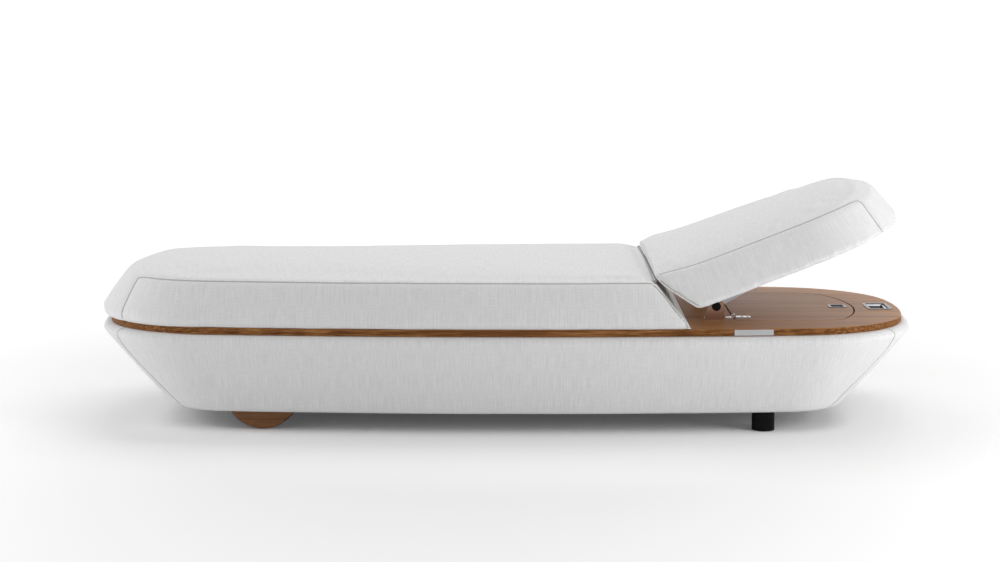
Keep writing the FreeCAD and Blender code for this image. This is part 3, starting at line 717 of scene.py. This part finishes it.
def split_x(z):
    """Where the sloped parting plane between the cushions lies at a height."""
    return AXIS_X + max(AXIS_Z - z, 0.0) * (SPLIT_RUN / SPLIT_DROP)


def mattress_hold(point):
    """1 on the deck and at the sloped end, 0 on the free cover."""
    at_deck = point.z < DECK_TOP + HOLD_UNDER
    at_end = point.x > split_x(point.z) - HOLD_END
    return 1.0 if at_deck or at_end else 0.0


def head_hold(point):
    """1 over the board and its pockets, 0 on the free cover."""
    flat = flat_head(point)
    inside = abs(flat.y) < POCKET_HALF_WIDTH and POCKET_FROM < flat.x < POCKET_TO
    if flat.z < HEAD_UNDER + HOLD_UNDER or flat.x < split_x(flat.z) + HOLD_END:
        return 1.0
    if inside and flat.z < HEAD_UNDER + POCKET_HEIGHT:
        return 1.0
    return 0.0


def make_cushion(name, node, body, held, lowest, lying):
    """A cushion cover that stands for its solid part and rides on its body."""
    cushion = even_copy(name, node, COARSE)
    puffed(cushion, held)
    finer(cushion)
    soften(cushion, node)
    for vertex in cushion.data.vertices:
        vertex.co = lowest(vertex.co)
    weave_map(cushion, lying)
    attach(cushion, body)
    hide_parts(node)
    print(name, len(cushion.data.polygons), "faces")
    return cushion


EDGE_FILL = mm(18)
EDGE_REACH = mm(25)
EDGE_RISE = mm(110)


def above_deck(point):
    """Fills the mattress' lower head edge, and keeps it on the deck and its side of the parting."""
    end_x = split_x(point.z)
    near = math.exp(-((end_x - point.x) / EDGE_REACH) ** 2)
    lower = min(max((AXIS_Z - point.z) / EDGE_RISE, 0.0), 1.0)
    x = point.x + EDGE_FILL * near * lower
    return Vector((min(x, end_x - PARTING_GAP), point.y, max(point.z, DECK_TOP + DECK_GAP)))


HEAD_UP = Matrix.Rotation(-HEAD_REST_TILT, 3, "Y") @ Vector((0.0, 0.0, 1.0))
POCKET_ROOM = mm(5)
CEILING_START = mm(20)
FACES_DOWN = -0.95
NOSE_FILL = mm(11)
NOSE_REACH = mm(80)
NOSE_RISE = mm(25)


def ceiling(x, y):
    """Height of the head cushion's level underside at a place, with its recess and its pockets."""
    start = raised_head((x, y, HEAD_UNDER - CEILING_START))
    hit, place, normal, _ = nodes["head_cushion"].ray_cast(start, HEAD_UP)
    if hit and normal.dot(HEAD_UP) < FACES_DOWN:
        return flat_head(place).z
    return HEAD_UNDER


def above_board(point):
    """Fills the head cushion's hinge end, and keeps it on its board and its side of the parting."""
    flat = flat_head(point)
    near = math.exp(-((flat.x - AXIS_X) / NOSE_REACH) ** 2)
    upper = min(max((flat.z - AXIS_Z) / NOSE_RISE + 1.0, 0.0), 1.0)
    flat.z += NOSE_FILL * near * upper
    lean = max(flat.z - AXIS_Z, 0.0) * math.tan(HEAD_LEAN)
    flat.x = max(flat.x, split_x(flat.z) + lean + PARTING_GAP)
    flat.z = max(flat.z, HEAD_UNDER)
    if flat.z < HEAD_UNDER + POCKET_HEIGHT:
        around = [(0.0, 0.0), (POCKET_ROOM, 0.0), (-POCKET_ROOM, 0.0)]
        around += [(0.0, POCKET_ROOM), (0.0, -POCKET_ROOM)]
        flat.z = max([flat.z] + [ceiling(flat.x + dx, flat.y + dy) for dx, dy in around])
    return raised_head(flat)


MATTRESS = make_cushion("mattress_cover", "mattress", "base", mattress_hold, above_deck, Vector)
HEAD = make_cushion("head_cushion_cover", "head_cushion", "headrest", head_hold, above_board, flat_head)

# %% [markdown]
# ## Seams, welts and stitches
#
# A seam pulls the cover in along its line. A thin welt, a fabric cord sewn into the seam, lies
# in that dip. The lines are drawn on the plan outline first and then dropped on to the cover.

# %% seam helpers
EVEN_STEPS = 30
EVEN_SPACING = mm(5)
FINE_SPACING = mm(4)
# The seams on top follow this plan: half length, end radius and corner radius.
TOP_HALF_LENGTH = mm(968.9)
TOP_END_RADIUS = mm(718)
TOP_CORNER_RADIUS = mm(226)


def flipped(points):
    """The same line on the other long side."""
    return [Vector((p.x, -p.y, p.z)) for p in points]


def straight(first, last, step=FINE_SPACING):
    """Points on a straight line."""
    first = Vector(first)
    last = Vector(last)
    count = max(2, int((last - first).length / step))
    return [first.lerp(last, i / count) for i in range(count + 1)]


def evened(points, spacing=EVEN_SPACING):
    """The same line with points at an even spacing."""
    length = sum((b - a).length for a, b in zip(points, points[1:]))
    count = int(length / spacing)
    return resample(points, [i / count for i in range(count + 1)])


def side_seam(sign, first_x, corner, half_width, z):
    """Seam along the front top edge of a cushion, from its hinge line to its corner."""
    quarter = quarter_outline(TOP_HALF_LENGTH, half_width, TOP_END_RADIUS, TOP_CORNER_RADIUS)
    side = [Vector((sign * p.x, -p.y, z)) for p in reversed(quarter)]
    if sign < 0:
        side = [Vector((p.x, -p.y, z)) for p in quarter] + side[1:]
    run = [p for p in side if sign * first_x <= sign * p.x < sign * corner.x]
    return evened(run + [corner])


def dropped(points, cover, sink):
    """The line laid on the cover, sunk by a depth, then evened out."""
    polygons = [tuple(p.vertices) for p in cover.data.polygons]
    tree = BVHTree.FromPolygons([v.co for v in cover.data.vertices], polygons)
    line = [tree.find_nearest(point)[0] for point in points]
    for _ in range(EVEN_STEPS):
        middle = [(line[i - 1] + line[i] * 2 + line[i + 1]) / 4 for i in range(1, len(line) - 1)]
        line = [line[0]] + middle + [line[-1]]
    laid = []
    normals = []
    for point in line:
        place, normal, _, _ = tree.find_nearest(point)
        laid.append(place - normal * sink)
        normals.append(normal)
    return laid, normals


def press_seams(cover, lines, depth, width):
    """Pulls the cover in along its seams."""
    points = [p for line in lines for p in line]
    tree = KDTree(len(points))
    for i, point in enumerate(points):
        tree.insert(point, i)
    tree.balance()
    moves = []
    for vertex in cover.data.vertices:
        distance = tree.find(vertex.co)[2]
        moves.append(vertex.normal * (depth * math.exp(-(distance / width) ** 2)))
    for vertex, move in zip(cover.data.vertices, moves):
        vertex.co -= move


def tubes(name, lines, radius, material):
    """Round cords along several lines, as one mesh."""
    curve = bpy.data.curves.new(name, "CURVE")
    curve.dimensions = "3D"
    curve.bevel_depth = radius
    curve.bevel_resolution = 2
    curve.use_fill_caps = True
    for line in lines:
        spline = curve.splines.new("POLY")
        spline.points.add(len(line) - 1)
        for point, place in zip(spline.points, line):
            point.co = (*place, 1.0)
    holder = bpy.data.objects.new(name + "_line", curve)
    bpy.context.scene.collection.objects.link(holder)
    graph = bpy.context.evaluated_depsgraph_get()
    data = bpy.data.meshes.new_from_object(holder.evaluated_get(graph))
    bpy.data.objects.remove(holder)
    data.name = name
    data.materials.clear()
    data.materials.append(material)
    for polygon in data.polygons:
        polygon.use_smooth = True
    made = bpy.data.objects.new(name, data)
    bpy.context.scene.collection.objects.link(made)
    return made


print("seam helpers ready")

# %% [markdown]
# Stitches repeat along a seam, so Geometry Nodes lay them: the line is divided at a fixed
# spacing, one short thread is set at each point along the line's direction, and the result is
# turned into a plain mesh.

# %% stitches with geometry nodes


def node_tree(name, inputs):
    """An empty geometry tree with named inputs and one geometry output."""
    tree = bpy.data.node_groups.new(name, "GeometryNodeTree")
    for label, kind in inputs:
        tree.interface.new_socket(label, in_out="INPUT", socket_type="NodeSocket" + kind)
    tree.interface.new_socket("Geometry", in_out="OUTPUT", socket_type="NodeSocketGeometry")
    return tree


def place_pieces(tree, start, points, piece):
    """Sets a piece at every point, gives it the material and ends the tree."""
    place = add(tree, "GeometryNodeInstanceOnPoints")
    solid = add(tree, "GeometryNodeRealizeInstances")
    paint = add(tree, "GeometryNodeSetMaterial")
    end = add(tree, "NodeGroupOutput")
    link = tree.links.new
    link(points, place.inputs["Points"])
    link(piece, place.inputs["Instance"])
    link(place.outputs["Instances"], solid.inputs["Geometry"])
    link(solid.outputs["Geometry"], paint.inputs["Geometry"])
    link(start.outputs["Material"], paint.inputs["Material"])
    link(paint.outputs["Geometry"], end.inputs["Geometry"])
    return place


def stitch_tree():
    """Node tree that sets a short thread at every step of a line."""
    sizes = [("Spacing", "Float"), ("Length", "Float"), ("Radius", "Float")]
    tree = node_tree("stitch_run", [("Geometry", "Geometry")] + sizes + [("Material", "Material")])
    start = add(tree, "NodeGroupInput")
    line = add(tree, "GeometryNodeMeshToCurve")
    steps = add(tree, "GeometryNodeCurveToPoints", mode="LENGTH")
    thread = add(tree, "GeometryNodeMeshCylinder", {"Vertices": 6})
    align = add(tree, "FunctionNodeAlignRotationToVector", axis="Z")
    link = tree.links.new
    link(start.outputs["Geometry"], line.inputs["Mesh"])
    link(line.outputs["Curve"], steps.inputs["Curve"])
    link(start.outputs["Spacing"], steps.inputs["Length"])
    link(start.outputs["Length"], thread.inputs["Depth"])
    link(start.outputs["Radius"], thread.inputs["Radius"])
    link(steps.outputs["Tangent"], align.inputs["Vector"])
    place = place_pieces(tree, start, steps.outputs["Points"], thread.outputs["Mesh"])
    link(align.outputs["Rotation"], place.inputs["Rotation"])
    return tree


def line_object(name, lines):
    """Lines as a mesh of edges."""
    mesh = bmesh.new()
    for line in lines:
        row = [mesh.verts.new(p) for p in line]
        for a, b in zip(row, row[1:]):
            mesh.edges.new((a, b))
    return finished_object(name, mesh, THREAD)


def run_nodes(holder, tree, values):
    """Runs a node tree with named inputs on an object and leaves a plain mesh."""
    modifier = holder.modifiers.new("run", "NODES")
    modifier.node_group = tree
    for item in tree.interface.items_tree:
        if item.item_type == "SOCKET" and item.in_out == "INPUT" and item.name in values:
            modifier[item.identifier] = values[item.name]
    return made_plain(holder)


STITCH_TREE = stitch_tree()
STITCH = {"Spacing": mm(6), "Length": mm(4.2), "Radius": mm(0.5), "Material": THREAD}


def stitches(name, lines, body):
    """A run of stitches along lines, riding on a body."""
    run = line_object(name, lines)
    run_nodes(run, STITCH_TREE, STITCH)
    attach(run, body)
    print(name, len(run.data.polygons), "faces")


def beside(line, normals, offset):
    """The line moved sideways on its cover."""
    moved = []
    for i, point in enumerate(line):
        ahead = line[min(i + 1, len(line) - 1)] - line[max(i - 1, 0)]
        side = ahead.normalized().cross(normals[i])
        moved.append(point + side * offset)
    return moved


# %% [markdown]
# The mattress cover is cut so that top and foot end are one piece: a seam runs along each top
# edge, turns at the foot corner and goes down to the deck. Another runs down each edge of the
# sloped end. The head cushion has the same, drawn flat and then tilted to its rest.

# %% cushion seams
SEAM_DEPTH = mm(2.4)
SEAM_WIDTH = mm(11)
WELT_RADIUS = mm(2.0)
WELT_SINK = mm(0.5)
STITCH_ASIDE = mm(7.5)
STITCH_SINK = mm(0.1)


def sew(cover, lines, name, body):
    """Presses the seams in, lays their welts, and sets stitches on both sides of each."""
    press_seams(cover, [dropped(line, cover, 0.0)[0] for line in lines], SEAM_DEPTH, SEAM_WIDTH)
    welts = [dropped(line, cover, WELT_SINK)[0] for line in lines]
    cords = tubes(name + "_welts", welts, WELT_RADIUS, WELT)
    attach(cords, body)
    rows = []
    for line in lines:
        laid, normals = dropped(line, cover, 0.0)
        for offset in (STITCH_ASIDE, -STITCH_ASIDE):
            rows.append(dropped(beside(laid, normals, offset), cover, STITCH_SINK)[0])
    stitches(name + "_stitches", rows, body)


def corner_line(points):
    """A line through points given in millimetres."""
    return evened([Vector([mm(c) for c in point]) for point in points])


def on_both_sides(lines):
    """The lines and their mirror images on the other long side."""
    return lines + [flipped(line) for line in lines]


mattress_corner = corner_line([(-914, -257, 383), (-929, -266, 352), (-945, -277, 314), (-956, -282, 277)])
mattress_side = side_seam(-1, mm(361), mattress_corner[0], mm(378.9), AXIS_Z)
mattress_edge = straight((mm(362), mm(-376), AXIS_Z), (mm(449), mm(-408), mm(277)))
sew(MATTRESS, on_both_sides([mattress_side, mattress_corner, mattress_edge]), "mattress", "base")

head_corner = corner_line([(911, -263, 377), (915, -271, 356), (922, -277, 334), (934, -286, 294)])
head_side = side_seam(1, mm(370), head_corner[0], mm(366), AXIS_Z + mm(7))
head_edge = straight((mm(368), mm(-374), AXIS_Z), (mm(440), mm(-404), mm(295)))
head_lines = on_both_sides([head_side, head_corner, head_edge])
sew(HEAD, [[raised_head(p) for p in line] for line in head_lines], "head_cushion", "headrest")

# %% [markdown]
# The strip that hinges the head cushion to the mattress is sewn fabric. It shows as a round welt
# in the fold between them.

# %% hinge welt
HINGE_SPACING = mm(10)
HINGE_RADIUS = mm(5)
welt_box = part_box("hinge_welt")
welt_line = straight((AXIS_X, welt_box[0].y, AXIS_Z), (AXIS_X, welt_box[1].y, AXIS_Z), HINGE_SPACING)
# Its grey welt material is painted shade for the fold.
hinge_cord = tubes("hinge_welt_cover", [welt_line], HINGE_RADIUS, WELT)
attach(hinge_cord, "base")
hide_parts("hinge_welt")
print("hinge welt", round((welt_box[1].y - welt_box[0].y) * 1000), "mm long")

# %% [markdown]
# The base has four upright seams, where its side and end panels meet. Their welts lie in the
# dip between the panels, with a row of stitches on each side.

# %% base seams
BASE_WELT_INSET = mm(1.9)
BASE_WELT_RADIUS = mm(1.7)
BASE_STITCH_ASIDE = mm(7)


def base_seam():
    """The seam at the front corner of the head end, from bottom to top."""
    line = []
    for z, tuck in BASE_ROWS[2:]:
        outline = base_outline(mm(z), mm(tuck) + BASE_WELT_INSET)
        point = cut_at_seam(outline, seam_place(mm(z)))[1][0]
        line.append(Vector((point.x, -point.y, mm(z))))
    return evened(line, FINE_SPACING)


seam = base_seam()
foot_seam = [Vector((-p.x, p.y, p.z)) for p in seam]
base_lines = [seam, flipped(seam), foot_seam, flipped(foot_seam)]
base_cords = tubes("base_welts", base_lines, BASE_WELT_RADIUS, WELT)
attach(base_cords, "base")
base_rows = []
for line, end, side in zip(base_lines, ("head", "head", "foot", "foot"), ("front", "back", "front", "back")):
    for cover in (PANELS["base_cover_" + end], PANELS["base_cover_" + side]):
        inward = Vector((0.0, -math.copysign(BASE_STITCH_ASIDE, line[0].y), 0.0))
        aside = inward if cover.name.endswith(end) else -inward
        base_rows.append(dropped([p + aside for p in line], cover, STITCH_SINK)[0])
stitches("base_stitches", base_rows, "base")

# %% [markdown]
# ## Small hardware
#
# Round-headed screws hold the hinge leaves and straps. One screw head is modelled and set at each
# place by Geometry Nodes.

# %% screw heads
SCREW_RADIUS = mm(3)
SCREW_SINK = mm(0.1)
SLOT_HALF_WIDTH = mm(0.5)
SLOT_REACH = mm(1.9)
DOME_FLATNESS = 0.36
SLOT_FLATNESS = 0.22


def screw_head():
    """A domed screw head with a cross slot, 6 mm across."""
    mesh = bmesh.new()
    bmesh.ops.create_uvsphere(mesh, u_segments=20, v_segments=10, radius=SCREW_RADIUS)
    bmesh.ops.bisect_plane(mesh, geom=mesh.verts[:] + mesh.edges[:] + mesh.faces[:],
                           plane_co=(0, 0, 0), plane_no=(0, 0, -1), clear_outer=True)
    bmesh.ops.holes_fill(mesh, edges=[e for e in mesh.edges if e.is_boundary])
    for vertex in mesh.verts:
        in_cross = min(abs(vertex.co.x), abs(vertex.co.y)) < SLOT_HALF_WIDTH
        in_slot = in_cross and vertex.co.xy.length < SLOT_REACH
        vertex.co.z *= SLOT_FLATNESS if in_slot else DOME_FLATNESS
    bmesh.ops.recalc_face_normals(mesh, faces=mesh.faces)
    for face in mesh.faces:
        face.smooth = True
    return finished_object("screw_head_pattern", mesh, SATIN)


def scatter_tree():
    """Node tree that sets one object at every vertex."""
    inputs = [("Geometry", "Geometry"), ("Piece", "Object"), ("Material", "Material")]
    tree = node_tree("set_at_points", inputs)
    start = add(tree, "NodeGroupInput")
    piece = add(tree, "GeometryNodeObjectInfo")
    tree.links.new(start.outputs["Piece"], piece.inputs["Object"])
    place_pieces(tree, start, start.outputs["Geometry"], piece.outputs["Geometry"])
    return tree


def plate_height(node, x, y):
    """Height of a part's top surface at a place, or None beside it."""
    hit, place, _, _ = nodes[node].ray_cast(Vector((x, y, 1.0)), Vector((0, 0, -1)))
    return place.z if hit else None


SCREW = screw_head()
SCATTER = scatter_tree()


def screws_on(name, node, body, places):
    """Screw heads on a plate, at the places that lie on it."""
    mesh = bmesh.new()
    for x, y in places:
        z = plate_height(node, x, y)
        if z is not None:
            mesh.verts.new((x, y, z - SCREW_SINK))
    heads = finished_object(name, mesh, SATIN)
    run_nodes(heads, SCATTER, {"Piece": SCREW, "Material": SATIN})
    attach(heads, body)
    print(name, len(heads.data.polygons), "faces")


strap_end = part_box("hinge_lid_straps")[1].x
leaf_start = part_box("hinge_deck_leaves")[0].x
hinge_y = (mm(203), mm(-203))
screws_on("strap_screws", "hinge_lid_straps", "lid",
          [(strap_end - inset, y) for inset in (mm(7), mm(21)) for y in hinge_y])
screws_on("leaf_screws", "hinge_deck_leaves", "base",
          [(leaf_start + mm(6), y + side) for side in (mm(-6.5), mm(6.5)) for y in hinge_y])
bpy.data.objects.remove(SCREW)

# %% [markdown]
# ## Light, floor and camera
#
# The studio is white all round. A soft lamp hangs above, one stands past each end, and the open
# white room fills the long side. The floor is white too and keeps the lounger's shadow.

# %% floor
FLOOR_SIZE = 240.0
bpy.ops.mesh.primitive_plane_add(size=FLOOR_SIZE, location=(0.0, 0.0, 0.0))
floor = bpy.context.active_object
floor.name = "studio_floor"
floor_material, floor_tree, floor_surface = new_material("white_studio_floor", "#FFFFFF", 0.9)
floor_surface.inputs["Specular IOR Level"].default_value = 0.0
where = add(floor_tree, "ShaderNodeNewGeometry").outputs["Position"]
away = add(floor_tree, "ShaderNodeVectorMath", {1: (0.0, 0.0, 0.0)}, operation="DISTANCE")
floor_tree.links.new(where, away.inputs[0])
# For the camera alone, the floor glows a little more towards white with the distance in metres.
lift = add(floor_tree, "ShaderNodeMapRange",
           {"From Min": 1.0, "From Max": 4.2, "To Min": 0.05, "To Max": 0.85})
floor_tree.links.new(away.outputs["Value"], lift.inputs["Value"])
path = add(floor_tree, "ShaderNodeLightPath")
seen_lift = calculate(floor_tree, "MULTIPLY", lift.outputs["Result"], path.outputs["Is Camera Ray"])
floor_surface.inputs["Emission Color"].default_value = (1.0, 1.0, 1.0, 1.0)
floor_tree.links.new(seen_lift, floor_surface.inputs["Emission Strength"])
floor.data.materials.append(floor_material)
print("floor", floor.name)

# %% lamps and room


def soft_lamp(name, place, target, width, height, watts):
    """A wide soft lamp that faces a point."""
    lamp = bpy.data.lights.new(name, "AREA")
    lamp.shape = "RECTANGLE"
    lamp.size = width
    lamp.size_y = height
    lamp.energy = watts
    holder = bpy.data.objects.new(name, lamp)
    holder.location = place
    holder.rotation_euler = (Vector(target) - Vector(place)).to_track_quat("-Z", "Y").to_euler()
    bpy.context.scene.collection.objects.link(holder)
    return holder


soft_lamp("lamp_above", (0.2, 0.85, 2.9), (0.0, 0.15, 0.3), width=3.6, height=2.2, watts=45.0)
low_lamp = soft_lamp("lamp_head_end", (3.3, -1.7, 1.1), (0.8, 0.0, 0.3),
                     width=1.8, height=1.8, watts=60.0)
# Seen from behind, this low lamp would glare on the varnished deck, so no reflection shows it.
low_lamp.visible_glossy = False
soft_lamp("lamp_foot_end", (-3.4, -0.9, 1.4), (-0.9, 0.0, 0.3),
          width=1.8, height=1.8, watts=38.0)

# The room looks white to the camera and in reflections, and lights the cloth less.
ROOM_LIGHT = 0.28
room = bpy.data.worlds.new("white_room")
bpy.context.scene.world = room
room.use_nodes = True
glow = room.node_tree.nodes["Background"]
glow.inputs["Color"].default_value = (1.0, 1.0, 1.0, 1.0)
room_path = add(room.node_tree, "ShaderNodeLightPath")
seen = room_path.outputs["Is Camera Ray"]
for kind in ("Is Glossy Ray", "Is Transmission Ray"):
    seen = calculate(room.node_tree, "MAXIMUM", seen, room_path.outputs[kind])
strength = add(room.node_tree, "ShaderNodeMapRange", {"To Min": ROOM_LIGHT, "To Max": 1.0})
room.node_tree.links.new(seen, strength.inputs["Value"])
room.node_tree.links.new(strength.outputs["Result"], glow.inputs["Strength"])
print("lamps and room ready")

# %% [markdown]
# The camera stands 5.4 m in front of the middle, 1.08 m up, with a long lens, as the
# photograph's perspective shows.

# %% camera
# Angles in radians: how far the camera looks down, and how far it turns to the foot end.
LOOK_DOWN = 0.1348
LOOK_ASIDE = 0.0095
camera_data = bpy.data.cameras.new("photo_camera")
camera_data.sensor_width = 36.0
camera_data.lens = 75.95
camera = bpy.data.objects.new("photo_camera", camera_data)
camera.location = (0.0359, -5.4396, 1.0771)
camera.rotation_euler = (math.pi / 2 - LOOK_DOWN, 0.0, LOOK_ASIDE)
bpy.context.scene.collection.objects.link(camera)
bpy.context.scene.camera = camera
bpy.context.scene.view_settings.view_transform = "Standard"
print("camera", tuple(round(c, 3) for c in camera.location))
